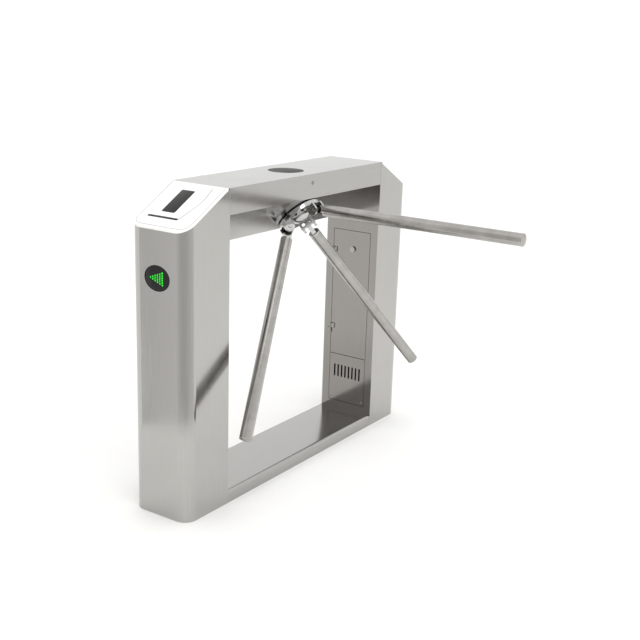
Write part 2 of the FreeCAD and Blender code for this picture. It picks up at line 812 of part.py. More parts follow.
tilted(rod(shaft_r, 148, (0, 0, -14)), "main_shaft")
STOPS = 12
index_notch = [(36, -7), (50, -7), (50, 7), (36, 7)]
disc_slot = [(29, -2), (37, -2), (37, 2), (29, 2)]
tilted(notched_wheel(45, PAWL_LOW, PAWL_THICK, index_notch, STOPS), "index_wheel")
tilted(toothed_wheel(cell("gear_teeth"), GEAR_LOW, GEAR_THICK, shaft_r), "main_gear")
tilted(notched_wheel(40, DISC_LOW, DISC_THICK, disc_slot, STOPS), "counter_disc")
tilted(tube(20, shaft_r, 8, (0, 0, 122)), "shaft_collar")
tilted(turned_piece([(0, -17), (30, -17), (30, -21, 0), (0, -31)]), "hub_cap")
pinion_shaft = rod(5, 54, (0, 0, 62))
pinion = join([toothed_wheel(cell("pinion_teeth"), GEAR_LOW, GEAR_THICK, 4), pinion_shaft])
HALF_TOOTH = 180 / DIMENSIONS["pinion_teeth"]
pinion.Placement = FreeCAD.Placement(V(0, GEAR_GAP.value, 0), FreeCAD.Rotation(V(0, 0, 1), 90 + HALF_TOOTH))
tilted(pinion, "damper_pinion")


def about_axis(turn):
    """Place of the arm number turn, counted in thirds round the rotor's axis."""
    return FreeCAD.Placement(V(0, 0, 0), FreeCAD.Rotation(V(0, 0, 1), 120 * turn))


def hub_body():
    """Disc with three pairs of cheeks and a boss through the slope of the beam."""
    gap, disc = cell("hub_gap"), cell("hub_thick")
    face = -gap - disc
    pieces = [rod(cell("hub_radius"), disc, (0, 0, face)), rod(24, gap + 8, (0, 0, -gap - 1))]
    bores = [rod(shaft_r, 40, (0, 0, -14))]
    for turn in range(3):
        for inner in (cell("cheek_gap") / 2, -cell("cheek_gap") / 2 - cell("cheek")):
            round_end = rod(cell("cheek_round"), cell("cheek"), (inner, -pivot_r, pivot_z), "x")
            foot = box((inner, -pivot_r - cell("cheek_round"), pivot_z),
                       (inner + cell("cheek"), cell("cheek_round") - pivot_r, face + 1))
            pieces.append(turned(round_end, turn))
            pieces.append(turned(foot, turn))
        bores.append(turned(rod(cell("pin_radius"), 80, (-40, -pivot_r, pivot_z), "x"), turn))
    tilted(cut(join(pieces), bores), "hub_body")


def turned(thing, turn):
    """Turn a piece round the rotor's axis by thirds."""
    return placed(thing, about_axis(turn))


hub_body()
half_pin = cell("cheek_gap") / 2 + cell("cheek") + 2
pins = []
for turn in range(3):
    pin = rod(cell("pin_radius"), 2 * half_pin, (-half_pin, -pivot_r, pivot_z), "x")
    pins.append(turned(pin, turn))
tilted(together(pins), "arm_pivot_pins")

# ------------------------------------------------------------------ arms
ROOT_HALF = math.sqrt(0.5)
ARM_FRAME = FreeCAD.Placement(
    V(0, -pivot_r.value, pivot_z.value),
    FreeCAD.Rotation(V(0, -ROOT_HALF, -ROOT_HALF), V(0, ROOT_HALF, -ROOT_HALF), V(1, 0, 0), "XYZ"))
arm_tip = cell("arm_reach") - pivot_r * math.sqrt(2)
tube_end = arm_tip - 7.5
TUBE_START = 39


def arm_root():
    """Tongue that turns on the pivot pin, collar, and spigot inside the tube."""
    half, tongue = 14, cell("tongue")
    pieces = [
        rod(half, tongue, (0, 0, -tongue / 2)),
        box((0, -half, -tongue / 2), (36, half, tongue / 2)),
        rod(cell("arm_radius"), 5, (TUBE_START - 5, 0, 0), "x"),
        rod(cell("arm_radius") - cell("arm_wall") - 0.1, 31, (TUBE_START - 1, 0, 0), "x"),
    ]
    return cut(join(pieces), [rod(cell("pin_radius") + cell("fit_gap"), 40, (0, 0, -20))])


def arm_cap():
    """Turned plug with a shallow dome that closes the end of the tube."""
    body = draft_body()
    inside = cell("arm_radius") - cell("arm_wall") - 0.1
    outline = [
        (tube_end - 12, 0), (tube_end - 12, inside), (tube_end, inside), (tube_end, cell("arm_radius")),
        (tube_end + 3, cell("arm_radius"), tube_end - 34.861), (arm_tip, 0),
    ]
    revolve(body, draw(body, "XY", [outline]), "H_Axis")
    return body


for name, turn in (("front", 0), ("far", 1), ("near", 2)):
    spin = about_axis(turn).multiply(ARM_FRAME)
    arm_tube = tube(cell("arm_radius"), cell("arm_radius") - cell("arm_wall"), tube_end - TUBE_START,
                    (TUBE_START, 0, 0), "x")
    for piece, label in ((arm_root(), "root"), (arm_tube, "tube"), (arm_cap(), "cap")):
        tilted(placed(piece, spin), "%s_arm_%s" % (name, label))

# ------------------------------------------------------------------ check and write
doc.recompute()
for item in doc.Objects:
    if "Invalid" in item.State or "Error" in item.State:
        raise SystemExit("%s (%s) failed" % (item.Name, item.Label))
os.makedirs("parts", exist_ok=True)
for subpart in SUBPARTS:
    shape = subpart.Shape
    if shape.isNull() or not shape.isValid():
        raise SystemExit(subpart.Label + " has a bad shape")
    shape.exportStep("parts/%s.step" % subpart.Label)
print(len(SUBPARTS), "sub-parts written")
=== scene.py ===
# %% [markdown]
# # A tripod turnstile in stainless steel
#
# The cabinet of this turnstile is folded sheet: two columns, a beam and a low base. A rotor with
# three arms is set on a 45 degree slope under the front of the beam. The engineering model already
# gives every part its size and place, so this lesson loads it as a fixed frame, gives each part a
# real finish, and remakes the parts whose edges, mouldings and lamps make the object look real.

# %% Load the engineering model
import json
import math

import bmesh
import bpy
from mathutils import Matrix, Vector


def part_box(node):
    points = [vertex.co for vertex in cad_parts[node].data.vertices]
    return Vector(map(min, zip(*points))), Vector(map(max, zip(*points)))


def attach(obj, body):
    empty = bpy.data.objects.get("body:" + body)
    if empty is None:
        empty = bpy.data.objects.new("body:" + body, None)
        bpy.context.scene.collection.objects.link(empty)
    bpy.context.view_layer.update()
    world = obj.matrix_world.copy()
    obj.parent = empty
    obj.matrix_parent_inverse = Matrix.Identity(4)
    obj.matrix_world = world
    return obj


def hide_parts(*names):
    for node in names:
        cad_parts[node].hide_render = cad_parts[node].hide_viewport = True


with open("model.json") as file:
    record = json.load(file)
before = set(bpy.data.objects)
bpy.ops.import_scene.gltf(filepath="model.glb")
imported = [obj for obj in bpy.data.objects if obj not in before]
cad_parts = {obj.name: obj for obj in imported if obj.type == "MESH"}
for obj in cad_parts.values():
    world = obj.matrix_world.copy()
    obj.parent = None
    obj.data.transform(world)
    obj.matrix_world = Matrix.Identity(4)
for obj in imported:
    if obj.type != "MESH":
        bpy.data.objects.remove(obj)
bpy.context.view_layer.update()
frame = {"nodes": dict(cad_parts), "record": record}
MM = 0.001

# %% [markdown]
# ## Camera
#
# The camera stands off the near end, 1.4 m above the floor and about 3.5 m away, and looks down
# along the cabinet. A portrait lens keeps the long beam from bulging. It leans by less than two
# degrees, as a hand-held camera does. A rotation matrix built from azimuth, elevation and roll
# says all of this.

# %% Place the camera
CAMERA_PLACE = Vector((-2.7288, -1.9845, 1.4448))
AZIMUTH, ELEVATION, ROLL = (math.radians(angle) for angle in (-56.104, 15.91, 1.867))
LENS = 59.0

back = Vector((
    math.sin(AZIMUTH) * math.cos(ELEVATION),
    -math.cos(AZIMUTH) * math.cos(ELEVATION),
    math.sin(ELEVATION)))
level_right = Vector((0, 0, 1)).cross(back).normalized()
level_up = back.cross(level_right)
right = math.cos(ROLL) * level_right + math.sin(ROLL) * level_up
up = math.cos(ROLL) * level_up - math.sin(ROLL) * level_right

camera = bpy.data.objects.new("camera", bpy.data.cameras.new("camera"))
bpy.context.scene.collection.objects.link(camera)
camera.matrix_world = Matrix.Translation(CAMERA_PLACE) @ Matrix((right, up, back)).transposed().to_4x4()
camera.data.lens = LENS
bpy.context.scene.camera = camera
print("camera looks along", [round(part, 3) for part in -back])

# %% [markdown]
# ## Two helpers for colours and shader nodes
#
# Colours are picked as sRGB hex values, as in a paint chart, but shaders add light in linear
# numbers, so one function converts them. A second one adds a shader node with its settings and
# links, because every material here is a short chain of such nodes.


# %% Colour and node helpers
def linear(hex_colour, alpha=1.0):
    """Turn an sRGB hex colour into the linear one that a shader needs."""
    channels = []
    for start in (0, 2, 4):
        value = int(hex_colour[start:start + 2], 16) / 255
        channels.append(value / 12.92 if value <= 0.04045 else ((value + 0.055) / 1.055) ** 2.4)
    return (*channels, alpha)


def add(tree, kind, inputs=(), **settings):
    """Add a node, set its properties, and set or link its inputs."""
    node = tree.nodes.new(kind)
    for name, value in settings.items():
        setattr(node, name, value)
    for key, value in dict(inputs).items():
        if isinstance(value, bpy.types.NodeSocket):
            tree.links.new(value, node.inputs[key])
        else:
            node.inputs[key].default_value = value
    return node


def start_finish(name):
    """Empty material and its tree."""
    finish = bpy.data.materials.new(name)
    finish.use_nodes = True
    finish.node_tree.nodes.clear()
    return finish, finish.node_tree


def fade(tree, source, low, high, from_low=0.35, from_high=0.65):
    """Spread a grey pattern over a range of values."""
    return add(tree, "ShaderNodeMapRange", {
        "Value": source, "From Min": from_low, "From Max": from_high,
        "To Min": low, "To Max": high}).outputs["Result"]


# %% [markdown]
# ## Brushed stainless steel
#
# The cabinet is 304 stainless sheet with a fine brushed finish: an abrasive belt leaves straight
# scratches a tenth of a millimetre wide and a few centimetres long. That blurs reflections a
# little more across the scratches than along them, and the surface stays bright and grey with a
# warm cast. Scratches of 0.1 mm are too fine to show from three metres, so they are drawn about 1
# mm wide and longer to match. The grain runs up the columns and along the beam, so the same recipe
# is used twice with its pattern stretched along another axis.


# %% Brushed steel
GRAIN_WIDTH = 1.1 * MM
GRAIN_LENGTH = 140 * MM
SMUDGE = 160 * MM


def brushed_steel(name, along, dark, light):
    """Straight brushed sheet whose grain runs along x, y or z."""
    finish, tree = start_finish(name)
    spot = add(tree, "ShaderNodeTexCoord").outputs["Object"]
    stretch = [1 / GRAIN_WIDTH] * 3
    stretch["xyz".index(along)] = 1 / GRAIN_LENGTH
    lines = add(tree, "ShaderNodeMapping", {"Vector": spot, "Scale": stretch})
    grain = add(tree, "ShaderNodeTexNoise", {
        "Vector": lines.outputs["Vector"], "Scale": 1.0, "Detail": 5.0, "Roughness": 0.65})
    cloud = add(tree, "ShaderNodeTexNoise", {"Vector": spot, "Scale": 1 / SMUDGE, "Detail": 3.0})
    shade = add(tree, "ShaderNodeMix", {
        "Factor": fade(tree, grain.outputs["Fac"], 0.0, 1.0),
        "A": linear(dark), "B": linear(light)}, data_type="RGBA")
    rough_grain = fade(tree, grain.outputs["Fac"], 0.12, 0.17)
    rough_cloud = fade(tree, cloud.outputs["Fac"], -0.02, 0.03)
    rough = add(tree, "ShaderNodeMath", {0: rough_grain, 1: rough_cloud}, operation="ADD")
    relief = add(tree, "ShaderNodeBump", {
        "Height": grain.outputs["Fac"], "Strength": 0.025, "Distance": 0.2 * MM})
    surface = add(tree, "ShaderNodeBsdfPrincipled", {
        "Base Color": shade.outputs["Result"], "Metallic": 1.0,
        "Roughness": rough.outputs["Value"], "Normal": relief.outputs["Normal"]})
    add(tree, "ShaderNodeOutputMaterial", {"Surface": surface.outputs["BSDF"]})
    return finish


steel_upright = brushed_steel("brushed_stainless_upright", "z", "AEADAB", "B7B6B3")
steel_along = brushed_steel("brushed_stainless_along", "x", "ABAAA8", "B3B2B0")
steel_door = brushed_steel("brushed_stainless_doors", "z", "918F8C", "999693")
print("finishes:", steel_upright.name, steel_along.name)

# %% [markdown]
# ## Polished stainless steel and plated steel
#
# The arms and the hub are polished until they mirror the room; what is left are shallow waves from
# the buffing wheel and faint wipe marks, so the roughness is low and varies slowly. Inner parts are
# zinc plated or cast: greyer, rougher, with a mottled bluish or matt skin.


# %% Smooth metals
def metal(name, dark, light, rough_low, rough_high, size, bump=0.0):
    """Metal with a cloudy change of tone and roughness of the given size."""
    finish, tree = start_finish(name)
    spot = add(tree, "ShaderNodeTexCoord").outputs["Object"]
    cloud = add(tree, "ShaderNodeTexNoise", {
        "Vector": spot, "Scale": 1 / size, "Detail": 4.0, "Roughness": 0.6})
    shade = add(tree, "ShaderNodeMix", {
        "Factor": fade(tree, cloud.outputs["Fac"], 0.0, 1.0),
        "A": linear(dark), "B": linear(light)}, data_type="RGBA")
    relief = add(tree, "ShaderNodeBump", {
        "Height": cloud.outputs["Fac"], "Strength": bump, "Distance": 0.2 * MM})
    surface = add(tree, "ShaderNodeBsdfPrincipled", {
        "Base Color": shade.outputs["Result"], "Metallic": 1.0,
        "Roughness": fade(tree, cloud.outputs["Fac"], rough_low, rough_high),
        "Normal": relief.outputs["Normal"]})
    add(tree, "ShaderNodeOutputMaterial", {"Surface": surface.outputs["BSDF"]})
    return finish


polished = metal("polished_stainless", "A4A29F", "B1AFAC", 0.17, 0.24, 40 * MM, 0.02)
chrome = metal("chromed_hub", "BCBCBB", "C8C8C6", 0.06, 0.11, 25 * MM, 0.03)
zinc = metal("zinc_plated_steel", "8F9498", "A9AEB1", 0.3, 0.45, 12 * MM, 0.1)
alloy = metal("cast_aluminium", "A2A3A4", "B4B4B3", 0.38, 0.5, 3 * MM, 0.25)
print("metals:", polished.name, chrome.name, zinc.name, alloy.name)

# %% [markdown]
# ## Plastics, rubber and circuit board
#
# The reader cover is glossy white ABS straight from the mould, so it has a clean skin with a faint
# orange peel. Windows and lenses are black or smoked acrylic, harder and shinier. The lid's window
# has a coating against reflections, which a lower IOR stands for. Rubber and inner plastics are
# matt. All of them are one recipe: a plain colour, a slow change of roughness, and a
# fine bump whose size is that of the real texture.


# %% Moulded plastics
WEAR = 60 * MM


def moulded(name, dark, light, rough_low, rough_high, size, bump, coat=0.0, ior=1.46):
    """Plastic or rubber with a fine moulded skin."""
    finish, tree = start_finish(name)
    spot = add(tree, "ShaderNodeTexCoord").outputs["Object"]
    skin = add(tree, "ShaderNodeTexNoise", {"Vector": spot, "Scale": 1 / size, "Detail": 2.0})
    wear = add(tree, "ShaderNodeTexNoise", {"Vector": spot, "Scale": 1 / WEAR, "Detail": 4.0})
    shade = add(tree, "ShaderNodeMix", {
        "Factor": fade(tree, wear.outputs["Fac"], 0.0, 1.0),
        "A": linear(dark), "B": linear(light)}, data_type="RGBA")
    relief = add(tree, "ShaderNodeBump", {
        "Height": skin.outputs["Fac"], "Strength": bump, "Distance": 0.1 * MM})
    surface = add(tree, "ShaderNodeBsdfPrincipled", {
        "Base Color": shade.outputs["Result"], "IOR": ior, "Coat Weight": coat,
        "Coat Roughness": 0.04,
        "Roughness": fade(tree, wear.outputs["Fac"], rough_low, rough_high),
        "Normal": relief.outputs["Normal"]})
    add(tree, "ShaderNodeOutputMaterial", {"Surface": surface.outputs["BSDF"]})
    return finish


white_abs = moulded("white_gloss_abs", "F4F4F3", "FAFAF9", 0.16, 0.24, 2.5 * MM, 0.02, coat=0.3)
black_acrylic = moulded("black_gloss_acrylic", "040404", "080808", 0.06, 0.12, 6 * MM, 0.01)
smoked = moulded("smoked_acrylic", "0C0A0C", "121012", 0.1, 0.16, 6 * MM, 0.01, ior=1.4)
lid_acrylic = moulded("black_antireflex_acrylic", "0B090A", "151213", 0.3, 0.4, 6 * MM, 0.01, ior=1.15)
black_abs = moulded("black_matt_abs", "1C1C1D", "262627", 0.45, 0.6, 0.8 * MM, 0.3)
nitrile = moulded("nitrile_rubber", "161616", "202020", 0.6, 0.75, 1.5 * MM, 0.2)
solder_mask = moulded("solder_mask_green", "0F4A24", "17602F", 0.3, 0.42, 4 * MM, 0.1)
# Painted shade: this mid grey stands for the shade along the cover's moulded line and in its edge groove.
line_shade_finish = moulded("painted_line_shade_grey", "868686", "929292", 0.3, 0.4, 2 * MM, 0.05)
print("plastics:", white_abs.name, black_acrylic.name, smoked.name)

# %% [markdown]
# ## Green lamps
#
# Each lamp of the direction arrow is a light emitting diode under a small green dome. The dome
# scatters the light, so it glows in soft patches a few millimetres across. A matt green plastic
# that gives off light of its own colour shows that.

# %% Lamp finish
lamp_green, tree = start_finish("green_lamp_lens")
LAMP_CELL = 5 * MM
spot = add(tree, "ShaderNodeTexCoord").outputs["Object"]
cells = add(tree, "ShaderNodeTexNoise", {"Vector": spot, "Scale": 1 / LAMP_CELL, "Detail": 2.0})
glow = add(tree, "ShaderNodeMix", {
    "Factor": fade(tree, cells.outputs["Fac"], 0.0, 1.0),
    "A": linear("14C021"), "B": linear("30E03C")}, data_type="RGBA")
surface = add(tree, "ShaderNodeBsdfPrincipled", {
    "Base Color": glow.outputs["Result"], "Roughness": 0.6, "IOR": 1.2,
    "Emission Color": glow.outputs["Result"], "Emission Strength": 0.95})
add(tree, "ShaderNodeOutputMaterial", {"Surface": surface.outputs["BSDF"]})
print("lamps:", lamp_green.name)

# %% [markdown]
# ## Finishes for the parts that keep their shape
#
# Many parts of the engineering model are already right, such as the folded panels and the gears.
# They only need their finish. The record names a material slot for each part, and most slots map
# to one finish; the columns and doors take the upright grain, the rest of the sheet the long one.

# %% Give every part of the frame its finish
BY_SLOT = {
    "brushed_stainless": steel_along,
    "polished_stainless": polished,
    "white_cover": white_abs,
    "black_gloss": black_acrylic,
    "smoked_lens": smoked,
    "green_lamp": solder_mask,
    "plated_steel": zinc,
    "circuit_board": solder_mask,
    "black_plastic": black_abs,
    "cast_alloy": alloy,
    "seal_rubber": nitrile,
}
UPRIGHT = ("column_shell",)
DOORS = ("door_frame", "door", "vent_panels", "hinge_pins")

for part in frame["record"]["subparts"]:
    node = frame["nodes"][part["node"]]
    finish = BY_SLOT[part["material_slot"]]
    if part["node"].endswith(UPRIGHT):
        finish = steel_upright
    if part["node"].endswith(DOORS):
        finish = steel_door
    node.data.materials.clear()
    node.data.materials.append(finish)

# %% [markdown]
# ## Helpers for new pieces
#
# A new piece is built in a bmesh, moved to its place, and then stored in an object that stays at
# the origin. Faces that meet at a sharp angle keep a crisp edge, all others are shaded smooth.
# Each piece is tied to the body of the frame that it moves with. The shapes start from a block or
# from a profile spun about an axis, which covers nearly everything on a folded steel cabinet.

# %% Piece helpers
SHARP = math.radians(35)


def finish_piece(mesh, name, finish, body, nodes=()):
    """Store a bmesh as a piece that rides on a body and stands for some parts."""
    bmesh.ops.recalc_face_normals(mesh, faces=mesh.faces)
    data = bpy.data.meshes.new(name)
    mesh.to_mesh(data)
    mesh.free()
    data.materials.append(finish)
    data.shade_smooth()
    data.set_sharp_from_angle(angle=SHARP)
    piece = bpy.data.objects.new(name, data)
    bpy.context.scene.collection.objects.link(piece)
    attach(piece, body)
    if nodes:
        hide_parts(*nodes)
    return piece


# %% Block and edge helpers
def block(size, middle=(0, 0, 0)):
    """Box of a size about a middle point."""
    mesh = bmesh.new()
    bmesh.ops.create_cube(mesh, size=1.0)
    to_middle = Matrix.Translation(middle) @ Matrix.Diagonal((*size, 1))
    bmesh.ops.transform(mesh, matrix=to_middle, verts=mesh.verts)
    return mesh


def bend_edges(mesh, edges, radius, segments):
    """Round some edges."""
    bmesh.ops.bevel(mesh, geom=edges, offset=radius, offset_type="OFFSET", segments=segments,
                    profile=0.5, material=-1, affect="EDGES")


def upright_edges(mesh):
    """Edges that run along z."""
    found = []
    for edge in mesh.edges:
        way = edge.verts[1].co - edge.verts[0].co
        if abs(way.z) > 0.9 * way.length:
            found.append(edge)
    return found


def rim_edges(mesh, height):
    """Sharp edges that lie at one height."""
    found = []
    for edge in mesh.edges:
        level = all(abs(vert.co.z - height) < 1e-6 for vert in edge.verts)
        if level and edge.calc_face_angle(0) > SHARP:
            found.append(edge)
    return found


# %% Placing, joining and turning helpers
def place(mesh, matrix):
    """Move a whole bmesh."""
    bmesh.ops.transform(mesh, matrix=matrix, verts=mesh.verts)
    return mesh


def combine(target, source):
    """Add one bmesh to another and free it."""
    data = bpy.data.meshes.new("passing")
    source.to_mesh(data)
    source.free()
    target.from_mesh(data)
    bpy.data.meshes.remove(data)
    return target


def turned(profile, segments=64):
    """Spin a line of (radius, height) points round z into a closed shape."""
    mesh = bmesh.new()
    verts = [mesh.verts.new((radius, 0, height)) for radius, height in profile]
    edges = [mesh.edges.new(pair) for pair in zip(verts, verts[1:])]
    bmesh.ops.spin(mesh, geom=verts + edges, axis=(0, 0, 1), cent=(0, 0, 0), angle=math.tau,
                   steps=segments, use_merge=True)
    bmesh.ops.remove_doubles(mesh, verts=mesh.verts, dist=1e-6)
    return mesh


def half_turn(side):
    """Matrix that turns the near end's piece to the far end."""
    return Matrix.Rotation(0 if side < 0 else math.pi, 4, "Z")


SIDES = (("near", -1), ("far", 1))
print("ends:", [name for name, side in SIDES])

# %% [markdown]
# ## The white reader cover
#
# On the real turnstile this is an injection moulding that sits on the sloped end of a column. It
# has rounded outer corners, a soft outer edge, a groove that runs parallel to the edge, and
# openings for the reader window and for a status strip. It is modelled flat in plan: a box, two
# rounded corners, then insets for the groove. The openings are cut with simple blocks, and at the
# end the whole piece is sheared up onto the slope, which keeps its sides upright as in the mould.

# %% Sizes of the sloped end
cover_low, cover_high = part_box("near_reader_cover")
COVER_THICK = 6 * MM
CORNER = 42 * MM
run = cover_high.x - cover_low.x
rise = cover_high.z - cover_low.z - COVER_THICK
slope = math.atan2(rise, run)
half_width = cover_high.y
WINDOW_START, WINDOW_LONG, WINDOW_WIDE = 72 * MM, 104 * MM, 50 * MM
STRIP_START, STRIP_WIDE, STRIP_LONG = 44 * MM, 8 * MM, 113 * MM
READER_SHIFT = 15 * MM
print("slope:", round(math.degrees(slope), 2), "degrees over", round(run, 3))


def slope_block(start, run_along, across, low, high, corner, edge=0.0):
    """Block in slope coordinates: x up the slope from its low end, y across, z out of it."""
    mesh = block((run_along, across, high - low), (start + run_along / 2, READER_SHIFT, (low + high) / 2))
    bend_edges(mesh, upright_edges(mesh), corner, 8)
    if edge:
        bend_edges(mesh, rim_edges(mesh, high), edge, 3)
    return mesh


to_slope = Matrix.Translation((cover_low.x, 0, cover_high.z - rise)) @ Matrix.Rotation(-slope, 4, "Y")


# %% Cutting helpers
def cutter_piece(mesh):
    """Passing object that a Boolean modifier cuts with."""
    bmesh.ops.recalc_face_normals(mesh, faces=mesh.faces)
    data = bpy.data.meshes.new("cutter")
    mesh.to_mesh(data)
    mesh.free()
    cutter = bpy.data.objects.new("cutter", data)
    bpy.context.scene.collection.objects.link(cutter)
    return cutter


def cut_with(piece, cutters):
    """Cut a piece with each cutter, keep the result and drop the cutters."""
    for cutter in cutters:
        step = piece.modifiers.new("cut", "BOOLEAN")
        step.object = cutter
        step.operation = "DIFFERENCE"
        step.solver = "EXACT"
    bpy.context.view_layer.update()
    result = bpy.data.meshes.new_from_object(piece.evaluated_get(bpy.context.evaluated_depsgraph_get()))
    piece.modifiers.clear()
    piece.data = result
    for cutter in cutters:
        bpy.data.objects.remove(cutter)
    piece.data.shade_smooth()
    piece.data.set_sharp_from_angle(angle=SHARP)


# %% Flat cover with its groove
LIP, GROOVE, GROOVE_DEEP = 7 * MM, 1.6 * MM, 2.2 * MM
SOFT_EDGE = 1.4 * MM


def cover_blank():
    """Flat cover in plan, with its rounded corners, soft edge and groove."""
    mesh = block((run, 2 * half_width, COVER_THICK), (run / 2, 0, -COVER_THICK / 2))
    outer = [edge for edge in upright_edges(mesh) if edge.verts[0].co.x < run / 2]
    bend_edges(mesh, outer, CORNER, 14)
    outer_rim = [edge for edge in rim_edges(mesh, 0.0)
                 if max(vert.co.x for vert in edge.verts) < run - 1e-5
                 or edge.verts[0].co.y * edge.verts[1].co.y > 0]
    bend_edges(mesh, outer_rim, SOFT_EDGE, 3)
    top = [face for face in mesh.faces if face.normal.z > 0.99]
    bmesh.ops.inset_region(mesh, faces=top, thickness=LIP, depth=0, use_even_offset=True)
    bmesh.ops.inset_region(mesh, faces=top, thickness=GROOVE, depth=-GROOVE_DEEP, use_even_offset=True)
    bmesh.ops.inset_region(mesh, faces=top, thickness=GROOVE, depth=GROOVE_DEEP, use_even_offset=True)
    return mesh


# %% Model the covers
SHEAR = Matrix(((1, 0, 0, 0), (0, 1, 0, 0), (rise / run, 0, 1, 0), (0, 0, 0, 1)))
plan_to_slope = Matrix.Translation((cover_low.x, 0, cover_high.z - rise)) @ SHEAR
OPEN_GAP = 0.35 * MM
HOLE_CORNER, SLIT_CORNER = 5 * MM, 4.2 * MM
CUT_LOW, CUT_HIGH = -20 * MM, 10 * MM

for name, side in SIDES:
    turn = half_turn(side)
    cover = finish_piece(place(cover_blank(), turn @ plan_to_slope), name + "_moulded_cover", white_abs,
                         "cabinet", [name + "_reader_cover"])
    hole = slope_block(WINDOW_START - OPEN_GAP, WINDOW_LONG + 2 * OPEN_GAP, WINDOW_WIDE + 2 * OPEN_GAP,
                       CUT_LOW, CUT_HIGH, HOLE_CORNER)
    slit = slope_block(STRIP_START - OPEN_GAP, STRIP_WIDE + 2 * OPEN_GAP, STRIP_LONG + 2 * OPEN_GAP,
                       CUT_LOW, CUT_HIGH, SLIT_CORNER)
    cut_with(cover, [cutter_piece(place(tool, turn @ to_slope)) for tool in (hole, slit)])
    print(cover.name, "faces:", len(cover.data.polygons))

# %% [markdown]
# ## Reader window and status strip
#
# Both are black acrylic, polished, let in almost flush. The window has small corner radii, the
# strip has round ends. A fine bevel on the top edge catches a line of light, and that line is what
# tells the eye that these are separate panes and not paint.

# %% Model the panes
PANE_DOWN, PANE_THICK, PANE_EDGE = 0.25 * MM, 8 * MM, 0.5 * MM
PANES = (
    ("reader_windows", WINDOW_START, WINDOW_LONG, WINDOW_WIDE, 4.8 * MM),
    ("status_strips", STRIP_START, STRIP_WIDE, STRIP_LONG, 3.9 * MM),
)
for node, start, along, across, corner in PANES:
    panes = bmesh.new()
    for name, side in SIDES:
        pane = slope_block(start, along, across, -PANE_THICK, -PANE_DOWN, corner, PANE_EDGE)
        combine(panes, place(pane, half_turn(side) @ to_slope))
    finish_piece(panes, node + "_glossy", black_acrylic, "cabinet", [node])
print("panes:", len(PANES))

# %% [markdown]
# ## The raised contour and the seal on the cover
#
# A fine line is moulded on the cover from the end of the strip, round the window's corner and
# up beside it, and the groove along the cover's edge shows as a grey line. Both are drawn as beads
# that stand less than a millimetre proud, and their mid grey is painted shade: it stands for the
# shade along the moulded line and down in the groove. Each is a thin curve with a round section,
# partly sunk in the cover. A smooth NURBS curve along a few points is the natural tool, and it is
# turned into a mesh before it is placed. The groove line of order 3 bends round a corner in a near
# arc, from the middle of one run to the middle of the next.

# %% Draw the contour
CONTOUR = ((48, -43), (72, -50), (104, -60), (132, -66), (160, -65), (186, -61), (196, -59))
BEAD = 1.2 * MM
BEAD_SUNK = 0.3
GROOVE_SHADE_BEAD = 0.8 * MM
GROOVE_SHADE_IN, GROOVE_SHADE_ACROSS = 8.9, 100.2
GROOVE_SHADE_END, GROOVE_SHADE_TURN = 208, 76
GROOVE_SHADE_HALF = ((GROOVE_SHADE_END, GROOVE_SHADE_ACROSS), (GROOVE_SHADE_TURN, GROOVE_SHADE_ACROSS), (GROOVE_SHADE_IN, GROOVE_SHADE_ACROSS),
             (GROOVE_SHADE_IN, GROOVE_SHADE_ACROSS + GROOVE_SHADE_IN - GROOVE_SHADE_TURN))
GROOVE_SHADE_LINE = GROOVE_SHADE_HALF + tuple((along, -across) for along, across in reversed(GROOVE_SHADE_HALF))


def bead_mesh(points, radius, order):
    """Round bead along some points, in slope coordinates."""
    curve = bpy.data.curves.new("contour", "CURVE")
    curve.dimensions = "3D"
    curve.bevel_depth = radius
    curve.bevel_resolution = 2
    curve.resolution_u = 10
    curve.use_fill_caps = True
    line = curve.splines.new("NURBS")
    line.points.add(len(points) - 1)
    for point, (along, across) in zip(line.points, points):
        point.co = (along * MM, across * MM, -radius * BEAD_SUNK, 1)
    line.order_u = order
    line.use_endpoint_u = True
    holder = bpy.data.objects.new("contour", curve)
    bpy.context.scene.collection.objects.link(holder)
    bpy.context.view_layer.update()
    data = bpy.data.meshes.new_from_object(holder.evaluated_get(bpy.context.evaluated_depsgraph_get()))
    mesh = bmesh.new()
    mesh.from_mesh(data)
    bmesh.ops.remove_doubles(mesh, verts=mesh.verts, dist=1e-6)
    bpy.data.objects.remove(holder)
    bpy.data.curves.remove(curve)
    bpy.data.meshes.remove(data)
    return mesh


# Both beads take the grey finish, which is painted shade for the moulded line and the groove.
for name, side in SIDES:
    bead = bead_mesh(CONTOUR, BEAD, 4)
    combine(bead, bead_mesh(GROOVE_SHADE_LINE, GROOVE_SHADE_BEAD, 3))
    finish_piece(place(bead, half_turn(side) @ to_slope), name + "_cover_contour", line_shade_finish,
                 "cabinet")
print("contour points:", len(CONTOUR), "seal points:", len(GROOVE_SHADE_LINE))

# %% [markdown]
# ## Direction lens and its arrow of lamps
#
# The oval lens is smoked acrylic with a slightly domed face. Behind it, a triangle of green lamps
# points the way. The lens is too dark to see through from outside except where a lamp glows, so
# each glow is a small dome set in its face. The lens is a circle drawn in a few rings, each ring a
# little prouder than the last, and the whole is squashed to an oval.

# %% Model the lenses
lens_low, lens_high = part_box("indicator_lenses")
lens_half_y, lens_half_z = lens_high.y, (lens_high.z - lens_low.z) / 2
lens_level = (lens_high.z + lens_low.z) / 2
lens_face = lens_high.x
LENS_THICK = 5 * MM
DOME = 1.5 * MM
FACE_DOWN = 0.2 * MM


def dome_height(fraction):
    """How far the lens face stands back from its middle at a fraction of its radius."""
    return -DOME * fraction ** 2 - FACE_DOWN


